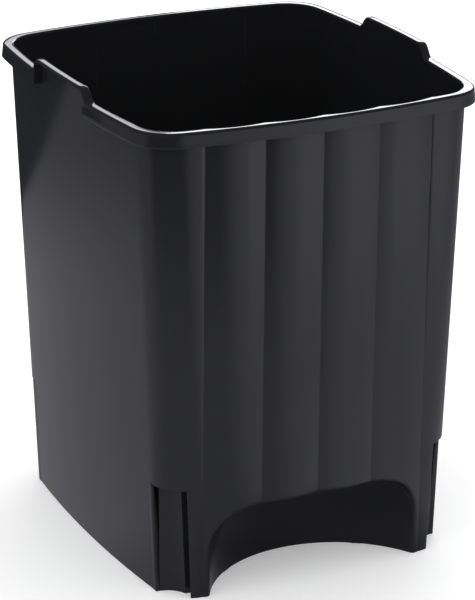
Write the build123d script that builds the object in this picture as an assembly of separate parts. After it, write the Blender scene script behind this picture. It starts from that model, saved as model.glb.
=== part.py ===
"""Inner bucket of a household compactor bin, in millimetres.

One open-topped plastic moulding: a tapered tub with bowed sides, a fluted front, a downturned
rim, two raised finger grips, an arched recess at the foot of the front and a recess in each
bottom corner.  It is cut along its natural lines into walls, corners, rim lengths and grips that
meet face to face.  +Z is up, the front faces -Y, and the origin is the middle of the footprint
at the level that the bucket stands on.
"""
from build123d import *
from math import hypot, sqrt
import os

# ---- driving dimensions -----------------------------------------------------------------
RIM_HEIGHT = 356.0        # floor level to the flat top of the rim
WALL = 2.2                # wall thickness everywhere
TOP_HALF_X = 135.2        # outside of the tub at the rim, middle of a side
TOP_HALF_Y = 145.9        # outside of the tub at the rim, middle of front and back
FOOT_HALF_X = 120.9       # outside of the tub at the bottom
FOOT_HALF_Y = 142.2
TOP_BOW_SIDE = 10.4       # how far the middle of a side stands out beyond its ends
TOP_BOW_FRONT = 12.6
FOOT_BOW_SIDE = 9.4
FOOT_BOW_FRONT = 12.2
TOP_CORNER = 30.5         # outside corner radius
FOOT_CORNER = 28.0

FLUTES = 4                # convex lobes across the front
FLUTE_PITCH = 44.5        # from crease to crease
FLUTE_CREST = 2.4         # lobe crest, outside the plain front line
FLUTE_VALLEY = 0.6        # crease, inside the plain front line

FLANGE = 7.0              # rim width from the inner edge to the outer edge
RIM_CORNER = 30.5         # outside corner radius of the rim
SKIRT_DROP = 10.6         # height of the downturned edge
SKIRT_WALL = 1.8
SKIRT_FLARE = 0.9         # the downturned edge opens by this much at its lower end
FLANGE_THICKNESS = 2.2

GRIP_RISE = 9.5           # grip top above the rim
GRIP_HALF = 42.0          # half length of the raised grip along the side
GRIP_RAMP = 7.0           # length of each sloping end
GRIP_ROUND = 3.5          # rounding of the grip's ends, seen from the side
WINDOW_HALF = 43.5        # half length of the opening in the skirt under each grip
SKIRT_CORNER = 7.0        # rounded lower corner of the skirt at the front end of each grip
WEB = 1.6                 # web that closes the skirt at the rear end of each grip

FLOOR_GAP = 4.0           # floor underside above the standing edge
FLOOR_THICKNESS = 2.5

ARCH_HALF = 85.0          # arched recess: half width, spring height, crown height
ARCH_SPRING = 64.0
ARCH_CROWN = 68.5
ARCH_CORNER = 32.0
RECESS_RADIUS = 94.0      # the recess is part of an upright cylinder
RECESS_DEPTH = 57.5       # from the plain front line to the deepest point at the bottom

NOTCH_HEIGHT = 85.5       # underside of the lip over each corner recess
NOTCH_BACK = 35.7         # along the side, the recess runs this far back from the foot's end
FLAP = 5.5                # length of the thin flap beyond that start
FLAP_STEP = 0.8           # the flap is set in from the side by this much
NOTCH_FRONT = 18.0        # from the side's outer face to the free edge of the front flap
COVE_IN = 8.1             # upright face where the cove starts, in from the foot's side
COVE_BACK = 18.2          # inner end of the front slot, back from the foot's end
COVE_BEND = (4.5, 25.2)   # middle of the cove: x beyond the front flap's edge, y back likewise
POCKET_DEPTH = 9.0        # slot behind the side flap
POCKET_SHUT = 18.0        # height where that slot has closed

PAST = 20.0               # how far cutting solids run past what they cut
TOP = RIM_HEIGHT + GRIP_RISE
WALL_TOP = RIM_HEIGHT - FLANGE_THICKNESS
SKIRT_FOOT = RIM_HEIGHT - SKIRT_DROP
NOTCH_SIDE = FOOT_HALF_Y - NOTCH_BACK
COVE_X = FOOT_HALF_X - COVE_IN
COVE_END = FOOT_HALF_Y - COVE_BACK
COVE_MIDDLE = FOOT_HALF_Y - COVE_BEND[1]
CORNER_X = FLUTES * FLUTE_PITCH / 2      # corners start at the outermost creases
CORNER_Y = NOTCH_SIDE + FLAP - POCKET_DEPTH - WALL
GRIP_FOOT = GRIP_HALF + GRIP_RAMP + GRIP_ROUND


# ---- outlines -----------------------------------------------------------------------------
def at_height(low, high, z):
    """A size that changes evenly from the bottom to the rim, at height z."""
    return low + (high - low) * z / RIM_HEIGHT


def plain_side(z, y):
    """Distance from the middle to the side at height z, y from the middle."""
    half_x = at_height(FOOT_HALF_X, TOP_HALF_X, z)
    half_y = at_height(FOOT_HALF_Y, TOP_HALF_Y, z)
    bow = at_height(FOOT_BOW_SIDE, TOP_BOW_SIDE, z)
    radius = (half_y ** 2 + bow ** 2) / (2 * bow)
    return half_x - radius + sqrt(radius ** 2 - y ** 2)


def crossing(centre_a, radius_a, centre_b, radius_b):
    """The two points where two circles cross."""
    dx, dy = centre_b[0] - centre_a[0], centre_b[1] - centre_a[1]
    apart = hypot(dx, dy)
    along = (radius_a ** 2 - radius_b ** 2 + apart ** 2) / (2 * apart)
    off = sqrt(radius_a ** 2 - along ** 2)
    ux, uy = dx / apart, dy / apart
    x, y = centre_a[0] + along * ux, centre_a[1] + along * uy
    return (x - off * uy, y + off * ux), (x + off * uy, y - off * ux)


def touching(circle_centre, circle_radius, centre, corner):
    """Where a corner circle touches the large circle that it lies inside."""
    stretch = circle_radius / (circle_radius - corner)
    return (circle_centre[0] + (centre[0] - circle_centre[0]) * stretch,
            circle_centre[1] + (centre[1] - circle_centre[1]) * stretch)


def arc_middle(centre, radius, start, end):
    """Middle point of the corner arc from start to end."""
    mx, my = (start[0] + end[0]) / 2 - centre[0], (start[1] + end[1]) / 2 - centre[1]
    length = hypot(mx, my)
    return (centre[0] + mx * radius / length, centre[1] + my * radius / length)


def outline(half_x, half_y, bow_side, bow_front, corner, z, fluted):
    """Closed face of the bowed, rounded rectangle at height z; the front is at -Y."""
    side = (half_y ** 2 + bow_side ** 2) / (2 * bow_side)
    front = (half_x ** 2 + bow_front ** 2) / (2 * bow_front)
    side_centre, front_centre = (half_x - side, 0), (0, half_y - front)
    centre = max(crossing(side_centre, side - corner, front_centre, front - corner), key=sum)
    on_side = touching(side_centre, side, centre, corner)
    on_front = touching(front_centre, front, centre, corner)
    bend = arc_middle(centre, corner, on_side, on_front)
    edges = []

    def arc(*points):
        edges.append(ThreePointArc(*[(x, y, z) for x, y in points]))

    arc((on_side[0], -on_side[1]), (half_x, 0), on_side)
    arc(on_side, bend, on_front)
    arc(on_front, (0, half_y), (-on_front[0], on_front[1]))
    arc((-on_front[0], on_front[1]), (-bend[0], bend[1]), (-on_side[0], on_side[1]))
    if not fluted:
        arc((-on_side[0], on_side[1]), (-half_x, 0), (-on_side[0], -on_side[1]))
        arc((-on_side[0], -on_side[1]), (-bend[0], -bend[1]), (-on_front[0], -on_front[1]))
        arc((-on_front[0], -on_front[1]), (0, -half_y), (on_front[0], -on_front[1]))
        arc((on_front[0], -on_front[1]), (bend[0], -bend[1]), (on_side[0], -on_side[1]))
        return Face(Wire(edges))

    def line_y(x):
        return half_y - front + sqrt(front ** 2 - x ** 2)

    creases = [(i - FLUTES / 2) * FLUTE_PITCH for i in range(FLUTES + 1)]
    points = [(x, line_y(x) - FLUTE_VALLEY) for x in creases]
    last = points[-1]
    centre = min(crossing(side_centre, side - corner, last, corner), key=sum)
    meet = touching(side_centre, side, centre, corner)
    turn = arc_middle(centre, corner, meet, last)
    edges[0] = ThreePointArc((meet[0], -meet[1], z), (half_x, 0, z), (*on_side, z))
    arc((-on_side[0], on_side[1]), (-half_x, 0), (-meet[0], -meet[1]))
    arc((-meet[0], -meet[1]), (-turn[0], -turn[1]), (-last[0], -last[1]))
    for (x0, y0), (x1, y1) in zip(points, points[1:]):
        middle = (x0 + x1) / 2
        arc((x0, -y0), (middle, -(line_y(middle) + FLUTE_CREST)), (x1, -y1))
    arc((last[0], -last[1]), (turn[0], -turn[1]), (meet[0], -meet[1]))
    return Face(Wire(edges))


def tub_section(z, inset=0.0):
    """Fluted outline of the tub at height z, set in by inset."""
    return outline(at_height(FOOT_HALF_X, TOP_HALF_X, z) - inset,
                   at_height(FOOT_HALF_Y, TOP_HALF_Y, z) - inset,
                   at_height(FOOT_BOW_SIDE, TOP_BOW_SIDE, z),
                   at_height(FOOT_BOW_FRONT, TOP_BOW_FRONT, z),
                   at_height(FOOT_CORNER, TOP_CORNER, z) - inset, z, True)


def rim_section(z, outset=0.0):
    """Plain outline of the rim's outer edge at height z."""
    grow = FLANGE - WALL + outset
    return outline(TOP_HALF_X + grow, TOP_HALF_Y + grow, TOP_BOW_SIDE, TOP_BOW_FRONT,
                   RIM_CORNER + outset, z, False)


def between(low, high):
    """Straight-sided solid between two outlines."""
    return Solid(loft([low, high], ruled=True).wrapped)


def block(x0, x1, y0, y1, z0, z1):
    """Box given by its two corners."""
    return Pos((x0 + x1) / 2, (y0 + y1) / 2, (z0 + z1) / 2) * Box(x1 - x0, y1 - y0, z1 - z0)


def four_corners(solid):
    """The front-left solid and its three mirror images, by corner name."""
    back = mirror(solid, about=Plane.XZ)
    return {
        "front_left": solid,
        "front_right": mirror(solid, about=Plane.YZ),
        "rear_left": back,
        "rear_right": mirror(back, about=Plane.YZ),
    }


# ---- the arched recess ----------------------------------------------------------------------
def arch_solid(grow):
    """Space of the arched recess, larger by grow all round."""
    half, spring, crown = ARCH_HALF + grow, ARCH_SPRING + grow, ARCH_CROWN + grow
    outline_2d = Wire([
        Line((-half, -PAST), (-half, spring)),
        ThreePointArc((-half, spring), (0, crown), (half, spring)),
        Line((half, spring), (half, -PAST)),
        Line((half, -PAST), (-half, -PAST)),
    ])
    flat = Face(outline_2d)
    upper = [v for v in flat.vertices() if v.Y > 0]
    flat = flat.fillet_2d(ARCH_CORNER + grow, upper)
    tunnel = extrude(Plane.XZ * flat, amount=FOOT_HALF_Y + 2 * PAST, dir=(0, -1, 0))
    middle_y = -(FOOT_HALF_Y - RECESS_DEPTH + RECESS_RADIUS)
    drum = Pos(0, middle_y, ARCH_CROWN / 2) * Cylinder(RECESS_RADIUS + grow, 3 * ARCH_CROWN)
    return tunnel & drum


# ---- the corner recesses ---------------------------------------------------------------------
def plan_face(start, arc_points, end, z):
    """Closed plan: straight runs, one arc, straight runs, at height z in the front-left corner."""
    def at(point):
        return (-point[0], -point[1], z)

    edges = [Line(at(a), at(b)) for a, b in zip(start, start[1:])]
    edges.append(ThreePointArc(*[at(p) for p in arc_points]))
    edges += [Line(at(a), at(b)) for a, b in zip(end, end[1:])]
    edges.append(Line(at(end[-1]), at(start[0])))
    return Face(Wire(edges))


def notch_plan(z):
    """Plan of the open space of the front-left corner recess at height z."""
    side = plain_side(z, NOTCH_SIDE)
    flap = side - FLAP_STEP
    free_edge = side - NOTCH_FRONT
    flap_end = NOTCH_SIDE + FLAP
    bend = (free_edge + COVE_BEND[0], COVE_MIDDLE)
    outside_x, outside_y = TOP_HALF_X + PAST, TOP_HALF_Y + PAST
    start = [(outside_x, NOTCH_SIDE), (flap, NOTCH_SIDE), (flap - FLAP_STEP / 2, flap_end),
             (COVE_X, flap_end)]
    arc_points = [(COVE_X, flap_end), bend, (free_edge, COVE_END)]
    end = [(free_edge, COVE_END), (free_edge, outside_y), (outside_x, outside_y)]
    return plan_face(start, arc_points, end, z)


def liner_plan(z):
    """Plan of the recess with the wall behind it, at height z."""
    free_edge = plain_side(z, NOTCH_SIDE) - NOTCH_FRONT
    flap_end = NOTCH_SIDE + FLAP
    inner_x = COVE_X - WALL
    bend = (free_edge + COVE_BEND[0] - WALL / sqrt(2), COVE_MIDDLE - WALL / sqrt(2))
    outside_x, outside_y = TOP_HALF_X + PAST, TOP_HALF_Y + PAST
    start = [(outside_x, CORNER_Y), (inner_x, CORNER_Y), (inner_x, flap_end - WALL / 2)]
    arc_points = [start[-1], bend, (free_edge - WALL, COVE_END)]
    end = [arc_points[-1], (free_edge - WALL, outside_y), (outside_x, outside_y)]
    return plan_face(start, arc_points, end, z)


def pocket_section(z):
    """Plan of the narrow slot behind the side flap at height z."""
    flap_inside = plain_side(z, NOTCH_SIDE) - FLAP_STEP - WALL
    far = NOTCH_SIDE + FLAP
    near = far - POCKET_DEPTH
    corners = [(COVE_X, near), (flap_inside, near), (flap_inside, far), (COVE_X, far)]
    points = [(-x, -y, z) for x, y in corners]
    return Face(Wire([Line(a, b) for a, b in zip(points, points[1:] + points[:1])]))


# ---- the grips -------------------------------------------------------------------------------
def side_profile(points, rounds):
    """Closed outline seen along X, from (y, z) points, with the named corners rounded."""
    flat = Face(Wire([Line(a, b) for a, b in zip(points, points[1:] + points[:1])]))
    for radius, chosen in rounds:
        corners = [v for v in flat.vertices() if any(hypot(v.X - y, v.Y - z) < 0.01 for y, z in chosen)]
        flat = flat.fillet_2d(radius, corners)
    return flat


def across(flat):
    """Extrude a side profile along X, right through the bucket."""
    return extrude(Plane.YZ * flat, amount=TOP_HALF_X + PAST, both=True)


def grip_hill(lower):
    """Side profile of the raised grip's top line, lowered by lower, closed far below."""
    foot, shoulder = GRIP_HALF + GRIP_RAMP, GRIP_HALF
    base, crest = RIM_HEIGHT - lower, TOP - lower
    shift = lower / 2
    points = [(-GRIP_FOOT, WALL_TOP - PAST), (-GRIP_FOOT, base), (-foot + shift, base),
              (-shoulder + shift, crest), (shoulder - shift, crest), (foot - shift, base),
              (GRIP_FOOT, base), (GRIP_FOOT, WALL_TOP - PAST)]
    outer, inner = points[3:5], [points[2], points[5]]
    return side_profile(points, [(GRIP_ROUND - lower / 2, outer), (GRIP_ROUND, inner)])


def skirt_window():
    """Opening in the skirt under a grip: square at the rear, rounded at the front."""
    low, high = SKIRT_FOOT - PAST, WALL_TOP
    half, turn = WINDOW_HALF, WINDOW_HALF + SKIRT_CORNER
    points = [(-turn, low), (half, low), (half, high), (-half, high)]
    edges = [Line(a, b) for a, b in zip(points, points[1:])]
    edges.append(Line((-half, high), (-half, SKIRT_FOOT + SKIRT_CORNER)))
    slant = SKIRT_CORNER * (1 - 1 / sqrt(2))
    edges.append(ThreePointArc((-half, SKIRT_FOOT + SKIRT_CORNER),
                               (-half - slant, SKIRT_FOOT + slant), (-turn, SKIRT_FOOT)))
    edges.append(Line((-turn, SKIRT_FOOT), (-turn, low)))
    return Face(Wire(edges))


# ---- the moulding ------------------------------------------------------------------------------
FAR_X, FAR_Y = TOP_HALF_X + PAST, TOP_HALF_Y + PAST
outer = between(tub_section(0), tub_section(TOP))
inner = between(tub_section(-PAST, WALL), tub_section(TOP + PAST, WALL))
arch = arch_solid(0)
arch_wall = arch_solid(WALL)

notch = between(notch_plan(-PAST), notch_plan(NOTCH_HEIGHT))
pocket = between(pocket_section(POCKET_SHUT), pocket_section(NOTCH_HEIGHT))
liner = between(liner_plan(0), liner_plan(NOTCH_HEIGHT + WALL))
notches = four_corners(notch + pocket)
liners = four_corners(liner)

shell = outer - inner - arch
for name in notches:
    shell = shell - notches[name]

slab = block(-TOP_HALF_X, TOP_HALF_X, -TOP_HALF_Y, TOP_HALF_Y, FLOOR_GAP, FLOOR_GAP + FLOOR_THICKNESS)
floor = (slab & inner) - arch_wall
for name in liners:
    floor = floor - liners[name]

above_ground = block(-TOP_HALF_X, TOP_HALF_X, -TOP_HALF_Y, 0, 0, RIM_HEIGHT)
recess = ((arch_wall - arch) & inner) & above_ground

rim_plate = extrude(rim_section(WALL_TOP), amount=FLANGE_THICKNESS, dir=(0, 0, 1)) - inner
skirt = between(rim_section(SKIRT_FOOT, SKIRT_FLARE), rim_section(WALL_TOP)) \
    - between(rim_section(SKIRT_FOOT, SKIRT_FLARE - SKIRT_WALL), rim_section(WALL_TOP, -SKIRT_WALL))
rim = rim_plate + (skirt - across(skirt_window()))

under_rim = block(-FAR_X, FAR_X, -FAR_Y, FAR_Y, 0, WALL_TOP)
hill, hill_low = across(grip_hill(0)), across(grip_hill(FLANGE_THICKNESS))
rim_column = extrude(rim_section(WALL_TOP), amount=TOP - WALL_TOP + PAST, dir=(0, 0, 1))
grip_wall = (outer - inner) & hill
grip_lip = (rim_column - inner) & (hill - hill_low)
web_slice = block(-TOP_HALF_X - FLANGE, TOP_HALF_X + FLANGE, WINDOW_HALF, WINDOW_HALF + WEB,
                  SKIRT_FOOT, TOP) & hill
skirt_fill = between(rim_section(SKIRT_FOOT, SKIRT_FLARE - SKIRT_WALL / 2),
                     rim_section(WALL_TOP, -SKIRT_WALL / 2)) \
    + extrude(rim_section(WALL_TOP, -SKIRT_WALL / 2), amount=GRIP_RISE, dir=(0, 0, 1))
web = (skirt_fill & web_slice) - inner - (outer & under_rim)


# ---- cut into named pieces ----------------------------------------------------------------------
def zone(x0, x1, y0, y1, low=0.0, high=WALL_TOP):
    """Upright box between two heights."""
    return block(x0, x1, y0, y1, low, high)


UP = TOP + PAST
pieces = {"bucket_floor": floor, "arched_recess_wall": recess}
pieces["fluted_front_wall"] = shell & zone(-CORNER_X, CORNER_X, -FAR_Y, 0)
pieces["back_wall"] = shell & zone(-CORNER_X, CORNER_X, 0, FAR_Y)
for side, sign in (("left", -1), ("right", 1)):
    x0, x1 = sorted((0, sign * FAR_X))
    wall = shell & zone(x0, x1, -CORNER_Y, CORNER_Y)
    pieces[side + "_side_wall"] = wall
    under_grip = zone(x0, x1, -GRIP_FOOT, GRIP_FOOT, SKIRT_FOOT - PAST, UP)
    side_rim = rim & zone(x0, x1, -CORNER_Y, CORNER_Y, SKIRT_FOOT - PAST, UP)
    above_wall = zone(x0, x1, -GRIP_FOOT, GRIP_FOOT, WALL_TOP, UP)
    low_rim = side_rim & under_grip & zone(x0, x1, -FAR_Y, FAR_Y, SKIRT_FOOT - PAST, WALL_TOP)
    grip = (grip_wall & above_wall) + grip_lip + low_rim + (web & under_grip)
    pieces[side + "_grip"] = grip & under_grip
    pieces[side + "_rim"] = side_rim - under_grip

pieces["front_rim"] = rim & zone(-CORNER_X, CORNER_X, -FAR_Y, 0, SKIRT_FOOT - PAST, UP)
pieces["back_rim"] = rim & zone(-CORNER_X, CORNER_X, 0, FAR_Y, SKIRT_FOOT - PAST, UP)
for name in liners:
    x0, x1 = (-FAR_X, -CORNER_X) if "left" in name else (CORNER_X, FAR_X)
    y0, y1 = (-FAR_Y, -CORNER_Y) if "front" in name else (CORNER_Y, FAR_Y)
    lining = (liners[name] & inner) - notches[name]
    pieces[name + "_corner"] = (shell & zone(x0, x1, y0, y1)) + (lining & zone(x0, x1, y0, y1))
    pieces[name + "_rim_corner"] = rim & zone(x0, x1, y0, y1, SKIRT_FOOT - PAST, UP)

os.makedirs("parts", exist_ok=True)
for name, piece in pieces.items():
    solids = piece.solids()
    export_step(solids[0] if len(solids) == 1 else Compound(children=list(solids)),
                "parts/" + name + ".step")
    print(name, len(solids), round(sum(s.volume for s in solids)))
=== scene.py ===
# %% [markdown]
# # Inner bucket of a household compactor bin
#
# The object is one black plastic moulding: a tapered tub with bowed sides and a fluted front, a
# rim that is turned down all round, two raised finger grips, an arched recess at the foot of the
# front, and a recess in each bottom corner. The CAD model is the fixed frame, and everything here
# is placed by its sizes. A glossy black surface shows every seam, so the walls are made again as
# one clean, evenly divided skin instead of keeping the CAD model's separate zones.

from math import atan2, cos, hypot, pi, radians, sin, sqrt

import bmesh
import bpy
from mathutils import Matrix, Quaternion, Vector


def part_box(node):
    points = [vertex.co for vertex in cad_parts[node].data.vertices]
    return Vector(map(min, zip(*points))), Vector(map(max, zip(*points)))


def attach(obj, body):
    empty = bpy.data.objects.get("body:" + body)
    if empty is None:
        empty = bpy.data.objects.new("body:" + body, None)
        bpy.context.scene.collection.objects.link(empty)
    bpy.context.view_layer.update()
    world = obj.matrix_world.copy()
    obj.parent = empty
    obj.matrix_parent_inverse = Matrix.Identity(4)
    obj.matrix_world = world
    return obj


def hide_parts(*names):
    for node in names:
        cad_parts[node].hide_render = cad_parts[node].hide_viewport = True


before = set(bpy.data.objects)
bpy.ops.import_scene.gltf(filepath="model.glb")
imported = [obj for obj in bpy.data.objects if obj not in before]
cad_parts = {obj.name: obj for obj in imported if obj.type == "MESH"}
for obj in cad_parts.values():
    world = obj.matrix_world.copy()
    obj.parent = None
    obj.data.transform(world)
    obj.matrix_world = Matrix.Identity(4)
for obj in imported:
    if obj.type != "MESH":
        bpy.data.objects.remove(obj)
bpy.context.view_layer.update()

# %% [markdown]
# ## Sizes
# The outlines are arcs, so a few numbers give the whole shape: half widths and bows at the bottom
# and at the rim, corner radii, and the pitch and height of the flutes. All of them are in
# millimetres, as on a drawing, and are turned into metres where a vertex is placed. The rim's
# height and the grips' height are read from the frame, so the skin can't drift away from the CAD.

# %% Sizes of the tub and rim
MM = 0.001
RIM = round(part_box("front_rim")[1].z / MM, 3)
GRIP_TOP = round(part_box("left_grip")[1].z / MM, 3)
WALL = 2.2
# each pair is the size at the foot and at the rim
TUB = {"half_x": (120.9, 135.2), "half_y": (142.2, 145.9), "bow_side": (9.4, 10.4),
       "bow_front": (12.2, 12.6), "corner": (28.0, 30.5)}
RIM_OUT = 4.8             # the rim's outer edge beyond the tub's outer face
RIM_CORNER = 30.5
PITCH = 44.5              # width of one lobe
CREST, VALLEY = 2.4, 0.6  # a lobe's middle and its creases, out from and in from the plain line
OUTER_CREASE = 2 * PITCH
CREASE_SOFT = 0.6         # half width of the soft bottom of a crease
SEAM = 350.0              # height where the tub's skin hands over to the rim's
PLATE = 2.2               # thickness of the rim's flat top
SKIRT_FOOT = RIM - 10.6
print("rim at", RIM, "grips up to", GRIP_TOP)

# %% [markdown]
# ## Outlines
# Every side of the tub is an arc of a large circle. The front carries four convex lobes, each an
# arc from crease to crease. A curve object could be lofted, but its divisions would wander from
# height to height. So a helper gives the distance from the middle to the front or the side at any
# height, and another walks round a corner from the last crease to the side.

# %% Outline helpers
def sizes(z, grow, rim):
    """Half widths, bows and corner radius at height z, larger by grow."""
    if rim:
        found = {name: pair[1] for name, pair in TUB.items()}
        found["half_x"] += RIM_OUT + grow
        found["half_y"] += RIM_OUT + grow
        found["corner"] = RIM_CORNER + grow
        return found
    found = {name: low + (high - low) * z / RIM for name, (low, high) in TUB.items()}
    found["half_x"] += grow
    found["half_y"] += grow
    found["corner"] += grow
    return found


def bow_radius(half, bow):
    """Radius of the arc that rises by bow over a chord of twice half."""
    return (half * half + bow * bow) / (2 * bow)


def side_x(y, s):
    """Distance from the middle to the side, y along it."""
    r = bow_radius(s["half_y"], s["bow_side"])
    return s["half_x"] - r + sqrt(r * r - y * y)


def plain_y(x, s):
    """Distance from the middle to the plain front or back line."""
    r = bow_radius(s["half_x"], s["bow_front"])
    return s["half_y"] - r + sqrt(r * r - x * x)


def fluted_y(x, s):
    """The same with the lobes of the front."""
    x = min(abs(x), OUTER_CREASE)
    start = PITCH * min(int(x / PITCH), 1)
    x0, x1, xm = start, start + PITCH, start + PITCH / 2
    y0, y1 = plain_y(x0, s) - VALLEY, plain_y(x1, s) - VALLEY
    ym = plain_y(xm, s) + CREST
    rise = ym - (y0 + y1) / 2
    half = hypot(x1 - x0, y1 - y0) / 2
    r = bow_radius(half, rise)
    lean = atan2(y1 - y0, x1 - x0)
    along = (x - xm) / cos(lean)
    return ym - r + sqrt(r * r - along * along) + (x - xm) * (y1 - y0) / (x1 - x0)


# %% Walking round a corner
STEPS = 160               # points on each stretch of a corner's path
NOTCH_Y = 106.5           # along the side, a corner recess starts here
NOTCH_TOP = 85.5
NOTCH_FRONT = 18.0        # from the side to the free edge of the front flap


def crossing(a, ra, b, rb):
    """Points where two circles cross."""
    dx, dy = b[0] - a[0], b[1] - a[1]
    d = hypot(dx, dy)
    k = (ra * ra - rb * rb + d * d) / (2 * d)
    h = sqrt(ra * ra - k * k)
    x, y = a[0] + k * dx / d, a[1] + k * dy / d
    return (x - h * dy / d, y + h * dx / d), (x + h * dy / d, y - h * dx / d)


corner_cache = {}


def corner_path(z, grow, rim, fluted):
    """Dense points from the outermost crease round the corner to the start of the recess."""
    key = (round(z, 4), grow, rim, fluted)
    if key in corner_cache:
        return corner_cache[key]
    s = sizes(z, grow, rim)
    rs = bow_radius(s["half_y"], s["bow_side"])
    rf = bow_radius(s["half_x"], s["bow_front"])
    rc = s["corner"]
    side_c, front_c = (s["half_x"] - rs, 0), (0, s["half_y"] - rf)
    points = []
    if fluted:
        last = (OUTER_CREASE, plain_y(OUTER_CREASE, s) - VALLEY)
        c = min(crossing(side_c, rs - rc, last, rc), key=sum)
        start = atan2(last[1] - c[1], last[0] - c[0])
    else:
        c = max(crossing(side_c, rs - rc, front_c, rf - rc), key=sum)
        start = atan2(c[1] - front_c[1], c[0] - front_c[0])
        x_end = c[0] + rc * cos(start)
        for i in range(STEPS):
            x = OUTER_CREASE + (x_end - OUTER_CREASE) * i / STEPS
            points.append((x, plain_y(x, s)))
    end = atan2(c[1], c[0] - side_c[0])
    for i in range(STEPS):
        a = start + (end - start) * i / STEPS
        points.append((c[0] + rc * cos(a), c[1] + rc * sin(a)))
    y_end = c[1] + rc * sin(end)
    for i in range(STEPS + 1):
        y = y_end + (NOTCH_Y - y_end) * i / STEPS
        points.append((side_x(y, s), y))
    lengths = [0.0]
    for p, q in zip(points, points[1:]):
        lengths.append(lengths[-1] + hypot(q[0] - p[0], q[1] - p[1]))
    corner_cache[key] = points, lengths
    return points, lengths


def on_path(path, share):
    """Point at a share of the path's length."""
    points, lengths = path
    want = share * lengths[-1]
    low, high = 0, len(points) - 1
    while high - low > 1:
        mid = (low + high) // 2
        low, high = (mid, high) if lengths[mid] <= want else (low, mid)
    t = (want - lengths[low]) / (lengths[high] - lengths[low])
    p, q = points[low], points[high]
    return p[0] + (q[0] - p[0]) * t, p[1] + (q[1] - p[1]) * t


def free_share(z, fluted):
    """Share of the corner path at which the front flap of the recess ends."""
    z = min(z, NOTCH_TOP)
    s = sizes(z, 0, False)
    x_free = side_x(NOTCH_Y, s) - NOTCH_FRONT
    points, lengths = corner_path(z, 0, False, fluted)
    for p, q, a, b in zip(points, points[1:], lengths, lengths[1:]):
        if p[0] <= x_free <= q[0]:
            return (a + (b - a) * (x_free - p[0]) / (q[0] - p[0])) / lengths[-1]


print("half width at the foot", round(side_x(0, sizes(0, 0, False)), 1))

# %% [markdown]
# ## Columns
# The skin is a grid of upright columns. A column is named by where it stands: a distance across
# the front or back, a share of the way round a corner, or a distance along the side. The left
# half is made first and then mirrored. Columns crowd together at the creases, so that each crease
# has a narrow soft bottom, and stand further apart on the plain walls.

# %% Columns of the tub
def spread(low, high, count):
    """Evenly spaced values, both ends included."""
    return [low + (high - low) * i / count for i in range(count + 1)]


PLAIN_SHARE = 0.8         # how far a front corner follows the plain front line, at the rim


def stand(column, z, grow=0.0, rim=False, fluted=True):
    """The (x, y) of a column at height z, on the left half; the front is at -Y."""
    kind, value = column
    s = sizes(z, grow, rim)
    if kind == "front":
        y = fluted_y(value, s) if fluted else plain_y(value, s)
        return -value, -y
    if kind == "side":
        return -side_x(value, s), value
    if kind == "back":
        return -value, plain_y(value, s)
    front = kind.startswith("front")
    share = free_share(z, front)
    share = share * value if kind.endswith("near") else share + (1 - share) * value
    x, y = on_path(corner_path(z, grow, rim, fluted and front), share)
    if fluted and front:
        # the corner runs into the plain front line, and only its last stretch leans into the crease
        plain_x, plain = on_path(corner_path(z, grow, rim, False), share)
        mixed = PLAIN_SHARE * min(z / RIM, 1)
        x, y = x + (plain_x - x) * mixed, y + (plain - y) * mixed
    return -x, -y if front else y


BESIDE_CREASE, NEXT_LINE = 3.5, 4.0  # distances of the first plain columns from a crowded line
crown_x = [0, CREASE_SOFT] + spread(BESIDE_CREASE, PITCH - BESIDE_CREASE, 12)
crown_x += [PITCH - CREASE_SOFT, PITCH, PITCH + CREASE_SOFT, PITCH + NEXT_LINE]
# shares of a corner before the end of the recess's flap, and after it
near = [0.05, 0.2, 0.4, 0.6, 0.8, 1.0]
far = spread(0, 1, 12)[1:]
back_x = spread(0, OUTER_CREASE, 14)
side_y = spread(-NOTCH_Y, NOTCH_Y, 32)
around = [("front", OUTER_CREASE - CREASE_SOFT), ("front", OUTER_CREASE)]
around += [("front near", v) for v in near] + [("front far", v) for v in far[:-1]]
around += [("side", y) for y in side_y]
around += [("rear far", v) for v in reversed(far[:-1])] + [("rear near", v) for v in reversed(near)]
around += [("back", x) for x in reversed(back_x)]
print("columns beside the front", len(around))

# %% [markdown]
# ## Building patches
# Each part of the skin is a grid made by Blender's own operator, whose vertices are then moved to
# their places. Neighbouring grids share their border positions, so merging doubles joins them
# into one surface.

# %% Patch and mesh helpers
MERGE = 0.00002           # metres; vertices nearer than this become one
SHARP_ANGLE = 40          # degrees; edges that turn more than this are shaded sharp
BEVEL_ANGLE = 50          # degrees; edges that turn more than this are softened


def patch(bm, rows):
    """Add a grid whose vertices are moved to rows[row][column], given in millimetres."""
    n_rows, n_cols = len(rows), len(rows[0])
    made = bmesh.ops.create_grid(bm, x_segments=n_cols - 1, y_segments=n_rows - 1, size=1.0)
    for v in made["verts"]:
        col = round((v.co.x + 1) / 2 * (n_cols - 1))
        row = round((v.co.y + 1) / 2 * (n_rows - 1))
        v.co = Vector(rows[row][col]) * MM
    return made["verts"]


def both_halves(bm, outward):
    """Mirror the left half to the right and make the faces point outwards."""
    bmesh.ops.mirror(bm, geom=bm.verts[:] + bm.edges[:] + bm.faces[:], axis="X", merge_dist=MERGE)
    bmesh.ops.remove_doubles(bm, verts=bm.verts[:], dist=MERGE)
    bmesh.ops.recalc_face_normals(bm, faces=bm.faces[:])
    bm.normal_update()
    chosen = max(bm.faces, key=lambda f: f.calc_center_median().dot(Vector(outward)))
    if chosen.normal.dot(Vector(outward)) < 0:
        bmesh.ops.reverse_faces(bm, faces=bm.faces[:])


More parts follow.
